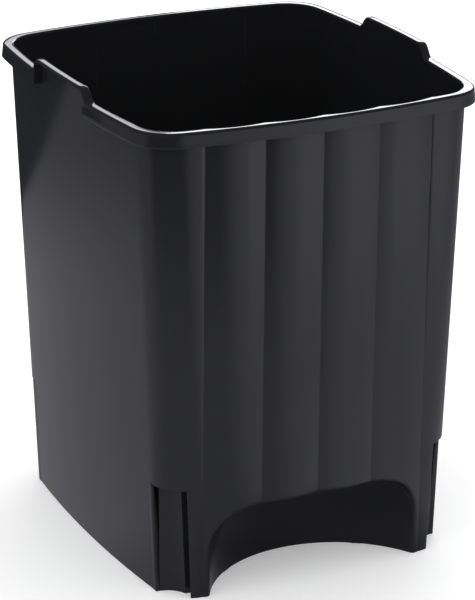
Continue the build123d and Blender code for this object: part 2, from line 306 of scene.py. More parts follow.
def finish_piece(bm, name, replaced):
    """Turn the bmesh into a smooth-shaded piece that rides on the body."""
    for f in bm.faces:
        f.smooth = True
    for e in bm.edges:
        if len(e.link_faces) == 2 and e.calc_face_angle(0) > radians(SHARP_ANGLE):
            e.smooth = False
    mesh = bpy.data.meshes.new(name)
    bm.to_mesh(mesh)
    bm.free()
    piece = bpy.data.objects.new(name, mesh)
    bpy.context.scene.collection.objects.link(piece)
    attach(piece, "root")
    if replaced:
        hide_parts(*replaced)
    print(name, len(mesh.vertices), "vertices", len(mesh.polygons), "faces")
    return piece


def add_wall(piece, thickness, soft_edge):
    """Give a skin its wall thickness on the inside, and soften the edges that this makes."""
    solid = piece.modifiers.new("wall", "SOLIDIFY")
    solid.thickness = thickness * MM
    solid.offset = -1
    solid.use_even_offset = False
    bevel = piece.modifiers.new("soft edges", "BEVEL")
    bevel.width = soft_edge * MM
    bevel.segments = 2
    bevel.profile = 0.5
    bevel.limit_method = "ANGLE"
    bevel.angle_limit = radians(BEVEL_ANGLE)
    bevel.use_clamp_overlap = False
    bevel.harden_normals = True
    bevel.material = -1


# %% [markdown]
# ## The tub's skin
# The arched recess is the hard part. Its edge is a smooth arch, but the wall above it is divided
# into upright columns. So the wall around the arch is a grid of its own: lines leave the edge of
# the arch at right angles and end at the last crease or at a level line above the arch. The skin
# then turns back at the edge and runs on into the recess, first as a ceiling and then down the
# upright cylinder that is its back wall. A bevel would trip over the crowded lines at the
# creases, so the rounding is a strip of rows bent along a curve that has the sharp edge as its
# control point.

# %% Arch sizes
ARCH_SIDE = 84.4          # from the middle to the arch's upright side
ARCH_ROUND = 32.0         # radius of the arch's upper corners
ARCH_CENTRE_Z = 34.6
ARCH_CENTRE_X = ARCH_SIDE - ARCH_ROUND
ARC_TOP = radians(86.2)   # how far the upper corner turns before it meets the crown
CROWN_Z = 68.5            # the crown's height in the middle
CROWN_DROP, CROWN_SPAN = 4.5, 85.0  # and how much it falls, this far out
DRUM_RADIUS, DRUM_Y = 94.0, 178.7   # the upright cylinder that makes the recess's back wall
LEVEL = 110.0             # the wall is plain above this height
EDGE_ROUND = 3.2


def drum_y(x):
    """Distance from the middle to the recess's back wall."""
    return DRUM_Y - sqrt(max(DRUM_RADIUS ** 2 - x * x, 0))


def wall_point(x, z):
    """Point of the fluted front wall, x across and z up."""
    return *stand(("front", x), z), z


# %% Lines that leave the arch at right angles
OUTER_X = OUTER_CREASE - CREASE_SOFT
CLEAR = 1.5               # crown lines keep this far from where the corner starts
LAST_LEAN = 1.0           # the last crown line leans out by this much, to even the spacing
levels_low = [0, 1.6, 4.5, 10, 17, 25, ARCH_CENTRE_Z, 46, 57, 66, 74, 80, NOTCH_TOP, 91, 99, LEVEL]
beyond_x = [OUTER_X - inset for inset in (31, 26, 20, 14, 7)]
edge_line = []            # (x, z) on the arch, (x, z) at the far end, direction into the recess
arc_foot = ARCH_CENTRE_X + ARCH_ROUND * cos(ARC_TOP)
for x in [v for v in crown_x if v < arc_foot - CLEAR] + [arc_foot]:
    edge_line.append(((x, CROWN_Z - CROWN_DROP * (x / CROWN_SPAN) ** 2), (x, LEVEL), (0, -1)))
edge_line[-1] = (edge_line[-1][0], (arc_foot + LAST_LEAN, LEVEL), (0, -1))
targets = [(x, LEVEL) for x in beyond_x]
targets += [(OUTER_X, z) for z in reversed(levels_low) if z >= ARCH_CENTRE_Z]
for tx, tz in targets:
    a = atan2(tz - ARCH_CENTRE_Z, tx - ARCH_CENTRE_X)
    point = (ARCH_CENTRE_X + ARCH_ROUND * cos(a), ARCH_CENTRE_Z + ARCH_ROUND * sin(a))
    edge_line.append((point, (tx, tz), (-cos(a), -sin(a))))
for z in reversed([v for v in levels_low if v < ARCH_CENTRE_Z]):
    edge_line.append(((ARCH_SIDE, z), (OUTER_X, z), (-1, 0)))
print("lines across the arch edge", len(edge_line))

# %% Wall around the arch, and the front above it
LONGEST_ROUND = 0.8       # the rounding takes at most this share of a short line
levels_high = [LEVEL, 118, 130, 148, 170, 195, 220, 245, 270, 292, 310, 325, 338, SEAM]
tub = bmesh.new()
around_arch = []
for share in (0, 0.2, 0.45, 0.72, 1):
    row = []
    for (ax, az), (bx, bz), _ in edge_line:
        first = min(EDGE_ROUND / hypot(bx - ax, bz - az), LONGEST_ROUND)
        t = first + (1 - first) * share
        row.append(wall_point(ax + (bx - ax) * t, az + (bz - az) * t))
    around_arch.append(row)
patch(tub, around_arch)
front_x = [bx for _, (bx, bz), _ in edge_line if bz == LEVEL]
patch(tub, [[wall_point(x, z) for x in front_x] for z in levels_high])
print("vertices of the front", len(tub.verts))

# %% Into the recess
EDGE_IN, NEXT_IN = 3.3, 1.2  # depth of the first row inside the edge, and the step to the second
FOLD = 0.55               # share of a row's depth that runs on down the back wall when it is shallow
DOWN_STEP = 2.5           # from the second row to the third, down the back wall


def recess_rows():
    """Rows from the arch edge along the ceiling and onto the back wall."""
    rows = [[], [], [], []]
    for (ax, az), _, (dx, dz) in edge_line:
        _, y, _ = wall_point(ax, az)
        depth = max(-y - drum_y(ax), 0)
        rows[0].append((-ax, y, az))
        for row, reach in ((1, EDGE_IN), (2, EDGE_IN + NEXT_IN)):
            if depth > reach:
                rows[row].append((-ax, y + reach if row == 1 else -drum_y(ax), az))
            else:
                step = (reach - depth) * FOLD
                x, z = ax + dx * step, az + dz * step
                rows[row].append((-x, -drum_y(x), z))
        x, z = -rows[2][-1][0] + dx * DOWN_STEP, rows[2][-1][2] + dz * DOWN_STEP
        rows[3].append((-x, -drum_y(x), z))
    return rows


def bend(start, control, end, t):
    """Point of the curve from start to end that is drawn towards control."""
    return tuple((1 - t) ** 2 * a + 2 * t * (1 - t) * b + t * t * c
                 for a, b, c in zip(start, control, end))


into = recess_rows()
patch(tub, into[1:])
patch(tub, [[bend(a, b, c, t) for a, b, c in zip(around_arch[0], into[0], into[1])]
            for t in spread(0, 1, 6)])
# below the ceiling the back wall is one more grid: the last row, lowered to the floor in steps
upright_lines = sum(1 for line in edge_line if line[2] == (-1, 0))
top_row, side_row = into[3][:-upright_lines], into[3][-upright_lines - 1:]
falls = [point[2] / side_row[0][2] for point in side_row]
patch(tub, [[(x, y, z * fall) for x, y, z in top_row] for fall in falls])

# %% Corners, sides and back
GRID_MERGE = 0.00003      # metres; a little more than MERGE, for borders worked out in two ways
levels_all = levels_low + levels_high[1:]
patch(tub, [[(*stand(column, z), z) for column in around] for z in levels_all])
bmesh.ops.remove_doubles(tub, verts=tub.verts[:], dist=GRID_MERGE)
print("vertices of the left half", len(tub.verts))

# %% [markdown]
# ## Opening the corners and giving the skin its wall
# The skin first runs on round each bottom corner, because the columns are simpler that way. The
# faces in the opening are then deleted, along rows and columns that were put on its border. A
# boolean would cut anywhere, but it leaves slivers that a glossy wall shows. The right half is a
# mirror of the left. The wall's thickness is a Solidify modifier and its edges a small Bevel, as
# both stay even on a skin that is already clean.

# %% Open the corner recesses
def in_notch(f):
    """Whether a face lies in the opening of a corner recess."""
    c = f.calc_center_median() / MM
    if c.z > NOTCH_TOP or abs(c.y) <= NOTCH_Y:
        return False
    return abs(c.x) > side_x(NOTCH_Y, sizes(c.z, 0, False)) - NOTCH_FRONT


bmesh.ops.delete(tub, geom=[f for f in tub.faces if in_notch(f)], context="FACES")
both_halves(tub, (0, -1, 0))
tub_nodes = ["fluted_front_wall", "back_wall", "left_side_wall", "right_side_wall", "arched_recess_wall"]
tub_nodes += [f"{end}_{side}_corner" for end in ("front", "rear") for side in ("left", "right")]
tub_piece = finish_piece(tub, "tub_skin", tub_nodes)
add_wall(tub_piece, thickness=WALL, soft_edge=0.5)

# %% [markdown]
# ## The rim and its grips
# The rim is a flat lip that runs all round, with both of its edges rounded. On each side it climbs
# over a low hill with a flat top, which makes the raised finger grip. Its section is the same
# everywhere, so it is a grid of columns and section rows, and only the height of the top line
# changes along the side. A curve with a bevel profile would tilt its section on the ramps, while
# here it stays upright. The downturned edge, the skirt, hangs under the lip except below each
# grip, where fingers reach in, so it is a piece of its own.

# %% Top line of the rim
GRIP_HALF, GRIP_RAMP = 42.0, 7.0  # half the flat top of a grip, and the length of each ramp
RAMP_SOFT = 0.40          # rounding of the ramp's ends, as a share of its length


def ramp_sum(t):
    """Area under a ramp that rises from 0 to 1, up to t."""
    return 0 if t < 0 else t * t / 2 if t < 1 else t - 0.5


def hill(y, lower=0.0):
    """Height of the rim's top line, or of the lip's underside when lowered."""
    t = (GRIP_HALF + GRIP_RAMP - lower / 2 - abs(y)) / GRIP_RAMP
    rise = (ramp_sum(t + RAMP_SOFT) - ramp_sum(t - RAMP_SOFT)) / (2 * RAMP_SOFT)
    return RIM - lower + (GRIP_TOP - RIM) * rise


print("a ramp's middle is at", round(hill(GRIP_HALF + GRIP_RAMP / 2), 1))

# %% Columns of the rim
# the ramps get close columns, from a little before each ramp to a little after it
ramp_y = spread(GRIP_HALF - 2, GRIP_HALF + GRIP_RAMP + 3, 16)
beside = spread(-NOTCH_Y, -ramp_y[-1] - NEXT_LINE, 9) + [-y for y in reversed(ramp_y)]
beside += spread(-ramp_y[0] + NEXT_LINE, ramp_y[0] - NEXT_LINE, 12)
beside += ramp_y + spread(ramp_y[-1] + NEXT_LINE, NOTCH_Y, 9)
rim_front = crown_x[:-1] + spread(PITCH + NEXT_LINE, OUTER_CREASE - NEXT_LINE, 11)
rim_front += [OUTER_CREASE - CREASE_SOFT, OUTER_CREASE]
rim_columns = [("front", x) for x in rim_front]
rim_columns += [("front near", v) for v in near] + [("front far", v) for v in far[:-1]]
rim_columns += [("side", y) for y in beside]
rim_columns += [("rear far", v) for v in reversed(far[:-1])]
rim_columns += [("rear near", v) for v in reversed(near)]
rim_columns += [("back", x) for x in reversed(back_x)]
print("columns round half the rim", len(rim_columns))


def rim_place(column, outset):
    """The (x, y) of a rim column on the outer edge line."""
    kind, value = column
    if kind in ("front", "side", "back"):
        return stand(column, RIM, outset, rim=True, fluted=False)
    front = kind.startswith("front")
    share = free_share(RIM, front)
    share = share * value if kind.endswith("near") else share + (1 - share) * value
    x, y = on_path(corner_path(RIM, outset, True, False), share)
    return -x, -y if front else y


def line_top(column, lower=0.0):
    """Top line over a column: the hill along the sides, level elsewhere."""
    return hill(column[1], lower) if column[0] == "side" else RIM - lower


# %% Section of the lip
INNER_ROUND = 1.4
OUTER_ROUND, OUTER_DROP = 2.1, 1.7  # the outer rounding, across and down
SKIRT_WALL = 1.8
LAP = 0.5                 # the rim starts this far below the top of the tub's skin
ROUND_TURNS = [i / 4 * pi / 2 for i in range(5)]


def lip_section(column):
    """Points of the lip's section at a column, from the inner wall over the top and back below."""
    top, below = line_top(column), line_top(column, PLATE)
    ix, iy = stand(column, top, -WALL)
    ox, oy = rim_place(column, 0)
    reach = hypot(ox - ix, oy - iy)
    ux, uy = (ox - ix) / reach, (oy - iy) / reach
    points = [(*stand(column, z, -WALL), z) for z in (SEAM - LAP, SEAM + 3)]

    def at(distance, z):
        points.append((ix + ux * distance, iy + uy * distance, z))

    for a in ROUND_TURNS:
        at(INNER_ROUND * (1 - cos(a)), top - INNER_ROUND + INNER_ROUND * sin(a))
    for share in (0.35, 0.65):
        at(INNER_ROUND + (reach - INNER_ROUND - OUTER_ROUND) * share, top)
    for a in ROUND_TURNS:
        at(reach - OUTER_ROUND + OUTER_ROUND * sin(a), top - OUTER_DROP + OUTER_DROP * cos(a))
    at(reach, below)
    at(reach - SKIRT_WALL, below)
    points += [(*stand(column, z), z) for z in (below, SEAM - LAP)]
    return points


rim = bmesh.new()
sections = [lip_section(column) for column in rim_columns]
patch(rim, [list(row) for row in zip(*sections)])
both_halves(rim, (0, 0, 1))
rim_nodes = ["front_rim", "back_rim"]
rim_nodes += [f"{side}_{part}" for side in ("left", "right") for part in ("rim", "grip")]
rim_nodes += [f"{end}_{side}_rim_corner" for end in ("front", "rear") for side in ("left", "right")]
rim_piece = finish_piece(rim, "rim_and_grips", rim_nodes)

# %% [markdown]
# ## The skirt
# The skirt is the edge that hangs down from the lip and hides its thickness. It flares out a
# little towards its foot. Under each grip it is left out. Its front run ends in a rounded lower
# corner, and a thin web closes the start of its rear run against the wall. It is a grid again, on
# the same columns as the lip, so that the two meet without a step, and only its foot line changes.

# %% Skirt
WINDOW, TURN = 43.5, 7.0  # half the opening under a grip, and the radius of its front corner
FLARE = 0.9               # the skirt's foot stands out from its top by this much
FOOT_ROUND = 0.6          # rounding of the skirt's lower edge
LOWER_EDGE = ((0, 0.6), (0.18, 0.18), (0.6, 0), (1.2, 0), (1.62, 0.18), (1.8, 0.6))  # in, and up
INTO_LIP = 0.3            # the skirt's inside runs up into the lip by this much


def skirt_foot(column):
    """Lower edge of the skirt at a column; it rises round a corner at the front of the window."""
    kind, y = column
    if kind == "side" and -WINDOW - TURN < y <= -WINDOW:
        return SKIRT_FOOT + TURN - sqrt(max(TURN ** 2 - (y + WINDOW + TURN) ** 2, 0))
    return SKIRT_FOOT


def flare(z):
    """How far the skirt stands out at height z."""
    return FLARE * max(RIM - PLATE - z, 0) / (RIM - PLATE - SKIRT_FOOT)


def skirt_section(column):
    """Points of the skirt's section, down the outside, round the lower edge and up the inside."""
    foot, top = skirt_foot(column), line_top(column, PLATE)
    straight = foot + FOOT_ROUND
    points = []

    def at(outset, z):
        points.append((*rim_place(column, round(outset, 3)), z))

    for share in (1, 0.66, 0.33):
        z = straight + (top - straight) * share
        at(flare(z), z)
    for back_in, up in LOWER_EDGE:
        at(flare(foot) - back_in, foot + up)
    for share in (0.33, 0.66, 1):
        z = straight + (top + INTO_LIP - straight) * share
        at(flare(z) - SKIRT_WALL, z)
    return points


round_y = [-WINDOW - TURN + TURN * sin(i / 8 * pi / 2) for i in range(9)]
side_columns = [c for c in rim_columns if c[0] == "side"]
front_run = rim_columns[:rim_columns.index(side_columns[0])]
front_run += [c for c in side_columns if c[1] < round_y[0] - 0.3] + [("side", y) for y in round_y]
rear_run = [("side", WINDOW)] + [c for c in side_columns if c[1] > WINDOW + 0.4]
rear_run += rim_columns[rim_columns.index(side_columns[-1]) + 1:]
skirt = bmesh.new()
for run, end in ((front_run, -1), (rear_run, 0)):
    made = [skirt_section(column) for column in run]
    verts = patch(skirt, [list(row) for row in zip(*made)])
    spots = [Vector(point) * MM for point in made[end]]
    cap = [min(verts, key=lambda v: (v.co - spot).length) for spot in spots]
    bmesh.ops.contextual_create(skirt, geom=cap)
print("vertices of the left skirt", len(skirt.verts))

# %% Web at the rear end of each window
WEB = 1.6                 # thickness of the web
SET_BACK = 0.04           # it stops just short of the skirt's outer face
WEB_UP, WEB_AHEAD, WEB_INTO_LIP = 0.2, 0.1, 1.0  # above the skirt's foot, ahead of its end, and up
WEB_INTO_WALL = -0.5
web = bmesh.ops.create_cube(skirt, size=1.0)["verts"]
web_low, web_high = SKIRT_FOOT + WEB_UP, hill(WINDOW + WEB, PLATE) + WEB_INTO_LIP
for v in web:
    y = WINDOW - WEB_AHEAD if v.co.y < 0 else WINDOW + WEB
    z = web_low if v.co.z < 0 else web_high
    if v.co.x < 0:
        x, _ = rim_place(("side", y), flare(z) - SET_BACK)
    else:
        x, _ = stand(("side", y), z, WEB_INTO_WALL)
    v.co = Vector((x, y, z)) * MM
both_halves(skirt, (-1, 0, 0))
skirt_piece = finish_piece(skirt, "rim_skirt", [])

# %% [markdown]
# ## The corner recesses
# Each bottom corner is cut away and lined with its own thin wall. Seen from above, the lining
# starts as a short flap that carries on the side wall, set in a little. Behind the flap is a
# narrow slot that closes towards the bottom. Then a cove turns to the front and ends in the edge
# of the front flap. It could be cut from a block with booleans, but one plan drawn at a few
# heights and joined by straight walls gives the whole lining with clean faces. It is made once
# and mirrored into the other corners.

# %% Corner lining
COVE_X = 112.8            # where the cove leaves the flap's end
COVE_MID_Y, COVE_IN = 117.0, 4.5  # a point in the middle of the cove
COVE_END = 124.0
FLAP, FLAP_STEP = 5.5, 0.15       # length of the flap, and how far it is set in
SLOT, SLOT_SHUT = 9.0, 38.0       # depth of the slot behind it, and the height where it closes
HIDDEN = 6.0              # the slot beside the front flap runs this far behind it
COVE_STEPS = 10


def arc_points(p, q, r, count):
    """Points on the circle through three points, from the first to the last."""
    (ax, ay), (bx, by), (cx, cy) = p, q, r
    a2, b2, c2 = ax * ax + ay * ay, bx * bx + by * by, cx * cx + cy * cy
    d = 2 * (ax * (by - cy) + bx * (cy - ay) + cx * (ay - by))
    ux = (a2 * (by - cy) + b2 * (cy - ay) + c2 * (ay - by)) / d
    uy = (a2 * (cx - bx) + b2 * (ax - cx) + c2 * (bx - ax)) / d
    radius = hypot(ax - ux, ay - uy)
    start, end = atan2(ay - uy, ax - ux), atan2(cy - uy, cx - ux)
    return [(ux + radius * cos(start + (end - start) * i / count),
             uy + radius * sin(start + (end - start) * i / count)) for i in range(count + 1)]


SLOT_LEAST = 0.04         # a closed slot keeps this share of its width, so that no faces touch
FLAP_LAP = 1.5            # the lining starts this far behind the opening's border
END_Y = NOTCH_Y + FLAP
WALL_SLANT = 1.55         # the wall's thickness along each axis, where the cove runs slantwise


def lining_frame(z):
    """At height z: the side wall, the front flap's free edge, and the front flap's inner face."""
    side = side_x(NOTCH_Y, sizes(z, 0, False))
    return side, side - NOTCH_FRONT, -stand(("front near", 1.0), z)[1] - WALL * 0.8


def lining_plan(z):
    """Plan of the lining's visible face at height z, from the side wall to the front flap."""
    side, free, front = lining_frame(z)
    flap_out, flap_in = side - FLAP_STEP, side - FLAP_STEP - WALL
    open_share = max(0, min(1, (z - SLOT_SHUT) / (NOTCH_TOP - SLOT_SHUT)))
    slot_width = max(flap_in - COVE_X, 0.05) * min(1, SLOT_LEAST + open_share * (1 - SLOT_LEAST))
    slot_x = COVE_X + slot_width
    # steps of a few tenths of a millimetre round the plan's corners
    plan = [(flap_out, NOTCH_Y - FLAP_LAP), (flap_out, NOTCH_Y + FLAP / 2),
            (flap_out - 0.1, END_Y - 0.5), (flap_out - 0.5, END_Y),
            (max(slot_x, flap_in) + 0.3, END_Y), (slot_x, END_Y - 0.4), (slot_x, END_Y - SLOT),
            (COVE_X, END_Y - SLOT), (COVE_X, END_Y - 0.8), (COVE_X - 0.15, END_Y - 0.1)]
    middle = (free + COVE_IN, COVE_MID_Y)
    plan += arc_points((COVE_X, END_Y), middle, (free, COVE_END), COVE_STEPS)[1:]
    return plan + [(free - HIDDEN, COVE_END + 0.2), (free - HIDDEN, front)]


def lining_back(z):
    """The same lining seen from inside the bucket, a wall thickness away."""
    side, free, front = lining_frame(z)
    flap_in = side - FLAP_STEP - WALL
    middle = (free + COVE_IN - WALL_SLANT, COVE_MID_Y - WALL_SLANT)
    back = [(flap_in, NOTCH_Y - FLAP_LAP), (flap_in, END_Y - SLOT - WALL),
            (COVE_X - WALL, END_Y - SLOT - WALL)]
    back += arc_points((COVE_X - WALL, END_Y - 1), middle, (free - 1.2, COVE_END - WALL), COVE_STEPS)
    return back + [(free - HIDDEN - WALL, COVE_END - WALL), (free - HIDDEN - WALL, front)]


print("width of the slot at the top", round(lining_plan(NOTCH_TOP)[5][0] - COVE_X, 2))

# %% Raise the lining from its plan
PLATE_IN = -0.7           # the plate's outer edge lies inside the tub's wall


def only_verts(geom):
    """The vertices among what an operator gives back."""
    return [v for v in geom if isinstance(v, bmesh.types.BMVert)]


def lining(bm):
    """One closed lining wall, with a plate over it."""
    loops = [[Vector((-x, -y, z)) * MM for x, y in lining_plan(z) + lining_back(z)[::-1]]
             for z in (0, 20, SLOT_SHUT, 55, 70, NOTCH_TOP)]
    ring = [bm.verts.new(co) for co in loops[0]]
    bm.faces.new(ring)
    for loop in loops[1:]:
        edges = [bm.edges.get((a, b)) for a, b in zip(ring, ring[1:] + ring[:1])]
        new = only_verts(bmesh.ops.extrude_edge_only(bm, edges=edges)["geom"])
        ring = [min(new, key=lambda v: (v.co - old.co).length) for old in ring]
        for v, co in zip(ring, loop):
            v.co = co
    bm.faces.new(ring)
    outer = [Vector((*stand(("front far", share), NOTCH_TOP, PLATE_IN), NOTCH_TOP)) * MM
             for share in spread(0, 1, 12)]
    inner = [Vector((-x, -y, NOTCH_TOP)) * MM for x, y in lining_back(NOTCH_TOP)]
    plate = bm.faces.new([bm.verts.new(co) for co in outer + inner])
    grown = bmesh.ops.extrude_face_region(bm, geom=[plate])
    bmesh.ops.translate(bm, verts=only_verts(grown["geom"]), vec=(0, 0, WALL * MM))
    return bm


linings = lining(bmesh.new())
bmesh.ops.recalc_face_normals(linings, faces=linings.faces[:])
everything = linings.verts[:] + linings.edges[:] + linings.faces[:]
copies = bmesh.ops.duplicate(linings, geom=everything)["geom"]
bmesh.ops.scale(linings, vec=(1, -1, 1), verts=only_verts(copies))
both_halves(linings, (0, 0, 1))
lining_piece = finish_piece(linings, "corner_recess_linings", [])

# %% [markdown]
# ## Black polypropylene
# The plastic is nearly black all through, so its looks come from gloss: a smooth skin that mirrors
# the studio, broken by things that only show as changes in the reflection. There is a very fine
# grain from the mould, a slow waviness where thick and thin walls cooled at different rates, faint
# upright scuffs on the inside from bags and waste, and a little dust on faces that look up. One
# noise in the roughness would give all of that the same scale, so each effect is a node group that
# both finishes use with their own values.

# %% Node helpers
def node(tree, kind, **values):
    """Add a node and set its properties, or its inputs by name."""
    made = tree.nodes.new(kind)
    for name, value in values.items():
        if name in made.bl_rna.properties:
            setattr(made, name, value)
        else:
            made.inputs[name.replace("_", " ")].default_value = value
    return made


def new_group(name, inputs, outputs):
    """A shader node group with named float or vector sockets."""
    group = bpy.data.node_groups.new(name, "ShaderNodeTree")
    for label, kind, value in inputs:
        socket = group.interface.new_socket(label, in_out="INPUT", socket_type=kind)
        if value is not None:
            socket.default_value = value
    for label, kind in outputs:
        group.interface.new_socket(label, in_out="OUTPUT", socket_type=kind)
    return group, group.nodes.new("NodeGroupInput"), group.nodes.new("NodeGroupOutput")


FLOAT, VECTOR = "NodeSocketFloat", "NodeSocketVector"
FACTOR = 0                # a Mix node's sockets go by number: its factor, then the pair that it mixes
NUMBER_A, NUMBER_B, NUMBER_OUT = 2, 3, 0
COLOUR_A, COLOUR_B, COLOUR_OUT = 6, 7, 2

# %% Mould grain and waviness
grain, g_in, g_out = new_group(
    "mould_grain",
    [("Vector", VECTOR, None), ("Grain Scale", FLOAT, 900.0), ("Wave Scale", FLOAT, 9.0),
     ("Wave Share", FLOAT, 0.5)],
    [("Height", FLOAT)])
fine = node(grain, "ShaderNodeTexNoise", Detail=3.0, Roughness=0.6)
slow = node(grain, "ShaderNodeTexNoise", Detail=1.0, Roughness=0.4)
mixed = node(grain, "ShaderNodeMix", data_type="FLOAT")
link = grain.links.new
link(g_in.outputs["Vector"], fine.inputs["Vector"])
link(g_in.outputs["Vector"], slow.inputs["Vector"])
link(g_in.outputs["Grain Scale"], fine.inputs["Scale"])
link(g_in.outputs["Wave Scale"], slow.inputs["Scale"])
link(g_in.outputs["Wave Share"], mixed.inputs[FACTOR])
link(fine.outputs["Fac"], mixed.inputs[NUMBER_A])
link(slow.outputs["Fac"], mixed.inputs[NUMBER_B])
link(mixed.outputs[NUMBER_OUT], g_out.inputs["Height"])
print("group", grain.name, len(grain.nodes), "nodes")

# %% Upright scuffs
SCUFF_FULL = 0.82         # noise level at which a scuff is fully there
LOOKS_IN = -0.02          # metres; normal times position is below this on faces that look inwards
scuffs, s_in, s_out = new_group(
    "upright_scuffs",
    [("Vector", VECTOR, None), ("Across", FLOAT, 300.0), ("Along", FLOAT, 7.0),
     ("Threshold", FLOAT, 0.68)],
    [("Mask", FLOAT)])
link = scuffs.links.new
stretch = node(scuffs, "ShaderNodeCombineXYZ")
scaled = node(scuffs, "ShaderNodeVectorMath", operation="MULTIPLY")
streak = node(scuffs, "ShaderNodeTexNoise", Scale=1.0, Detail=2.0, Roughness=0.55)
cut = node(scuffs, "ShaderNodeMapRange", clamp=True, From_Max=SCUFF_FULL)
link(s_in.outputs["Across"], stretch.inputs["X"])
link(s_in.outputs["Across"], stretch.inputs["Y"])
link(s_in.outputs["Along"], stretch.inputs["Z"])
link(s_in.outputs["Vector"], scaled.inputs[0])
link(stretch.outputs[0], scaled.inputs[1])
link(scaled.outputs[0], streak.inputs["Vector"])
link(streak.outputs["Fac"], cut.inputs["Value"])
link(s_in.outputs["Threshold"], cut.inputs["From Min"])
# a face is inside the bucket where its normal points towards the upright axis
inwards = node(scuffs, "ShaderNodeNewGeometry")
flat = node(scuffs, "ShaderNodeVectorMath", operation="MULTIPLY")
flat.inputs[1].default_value = (1, 1, 0)
towards = node(scuffs, "ShaderNodeVectorMath", operation="DOT_PRODUCT")
inside = node(scuffs, "ShaderNodeMath", operation="LESS_THAN")
inside.inputs[1].default_value = LOOKS_IN
kept = node(scuffs, "ShaderNodeMath", operation="MULTIPLY")
link(s_in.outputs["Vector"], flat.inputs[0])
link(flat.outputs[0], towards.inputs[0])
link(inwards.outputs["Normal"], towards.inputs[1])
link(towards.outputs["Value"], inside.inputs[0])
link(cut.outputs[0], kept.inputs[0])
link(inside.outputs[0], kept.inputs[1])
link(kept.outputs[0], s_out.inputs["Mask"])
print("group", scuffs.name, len(scuffs.nodes), "nodes")

# %% Dust on faces that look up
LOOKS_UP = 0.6            # upright part of the normal from which a face gathers dust
SPECK_FROM, SPECK_FULL = 0.45, 0.75  # noise levels where specks start and are fully there
dust, d_in, d_out = new_group(
    "settled_dust", [("Vector", VECTOR, None), ("Amount", FLOAT, 0.3)], [("Mask", FLOAT)])
link = dust.links.new
facing = node(dust, "ShaderNodeNewGeometry")
split = node(dust, "ShaderNodeSeparateXYZ")
upward = node(dust, "ShaderNodeMapRange", clamp=True, From_Min=LOOKS_UP)
speck = node(dust, "ShaderNodeTexNoise", Scale=240.0, Detail=4.0, Roughness=0.7)
speck_cut = node(dust, "ShaderNodeMapRange", clamp=True, From_Min=SPECK_FROM, From_Max=SPECK_FULL)
both = node(dust, "ShaderNodeMath", operation="MULTIPLY")
amount = node(dust, "ShaderNodeMath", operation="MULTIPLY")
link(facing.outputs["Normal"], split.inputs[0])
link(split.outputs["Z"], upward.inputs["Value"])
link(d_in.outputs["Vector"], speck.inputs["Vector"])
link(speck.outputs["Fac"], speck_cut.inputs["Value"])
link(upward.outputs[0], both.inputs[0])
link(speck_cut.outputs[0], both.inputs[1])
link(both.outputs[0], amount.inputs[0])
link(d_in.outputs["Amount"], amount.inputs[1])
link(amount.outputs[0], d_out.inputs["Mask"])
print("group", dust.name, len(dust.nodes), "nodes")

# %% The two finishes
DUST_COLOUR = (0.16, 0.155, 0.15, 1)
SCUFF_COLOUR = (0.05, 0.05, 0.052, 1)
TONE_CHANGE = 0.15        # the plastic's tone varies by this share, up and down
SCUFF_DULLS = 0.25        # roughness that a full scuff adds
RELIEF = 0.0004           # metres; height of the grain and waviness
POLYPROPYLENE_IOR = 1.49


def plastic(name, colour, rough, rough_change, bump, scuff_share, dust_share):
    """Moulded black plastic: tone, gloss and bump each vary a little over the surface."""
    made = bpy.data.materials.new(name)
    made.use_nodes = True
    tree = made.node_tree
    link = tree.links.new
    shader = tree.nodes["Principled BSDF"]
    shader.inputs["IOR"].default_value = POLYPROPYLENE_IOR
    at = node(tree, "ShaderNodeTexCoord").outputs["Object"]
    height = node(tree, "ShaderNodeGroup", node_tree=grain)
    marks = node(tree, "ShaderNodeGroup", node_tree=scuffs)
    settled = node(tree, "ShaderNodeGroup", node_tree=dust, Amount=dust_share)
    for effect in (height, marks, settled):
        link(at, effect.inputs["Vector"])
    tone = node(tree, "ShaderNodeTexNoise", Scale=14.0, Detail=3.0)
    link(at, tone.inputs["Vector"])
    tones = node(tree, "ShaderNodeMix", data_type="RGBA")
    tones.inputs[COLOUR_A].default_value = (*[c * (1 - TONE_CHANGE) for c in colour], 1)
    tones.inputs[COLOUR_B].default_value = (*[c * (1 + TONE_CHANGE) for c in colour], 1)
    link(tone.outputs["Fac"], tones.inputs[FACTOR])
    dusty = node(tree, "ShaderNodeMix", data_type="RGBA")
    dusty.inputs[COLOUR_B].default_value = DUST_COLOUR
    link(settled.outputs["Mask"], dusty.inputs[FACTOR])
    link(tones.outputs[COLOUR_OUT], dusty.inputs[COLOUR_A])
    scuffed = node(tree, "ShaderNodeMath", operation="MULTIPLY")
    scuffed.inputs[1].default_value = scuff_share
    link(marks.outputs["Mask"], scuffed.inputs[0])
    worn = node(tree, "ShaderNodeMix", data_type="RGBA")
    worn.inputs[COLOUR_B].default_value = SCUFF_COLOUR
    link(scuffed.outputs[0], worn.inputs[FACTOR])
    link(dusty.outputs[COLOUR_OUT], worn.inputs[COLOUR_A])
    link(worn.outputs[COLOUR_OUT], shader.inputs["Base Color"])
    gloss = node(tree, "ShaderNodeMapRange", To_Min=rough - rough_change, To_Max=rough + rough_change)
    link(tone.outputs["Fac"], gloss.inputs["Value"])
    dulled = node(tree, "ShaderNodeMath", operation="MULTIPLY_ADD")
    dulled.inputs[1].default_value = SCUFF_DULLS
    link(scuffed.outputs[0], dulled.inputs[0])
    link(gloss.outputs[0], dulled.inputs[2])
    link(dulled.outputs[0], shader.inputs["Roughness"])
    relief = node(tree, "ShaderNodeBump", Strength=bump, Distance=RELIEF)
    link(height.outputs["Height"], relief.inputs["Height"])
    link(relief.outputs[0], shader.inputs["Normal"])
    return made


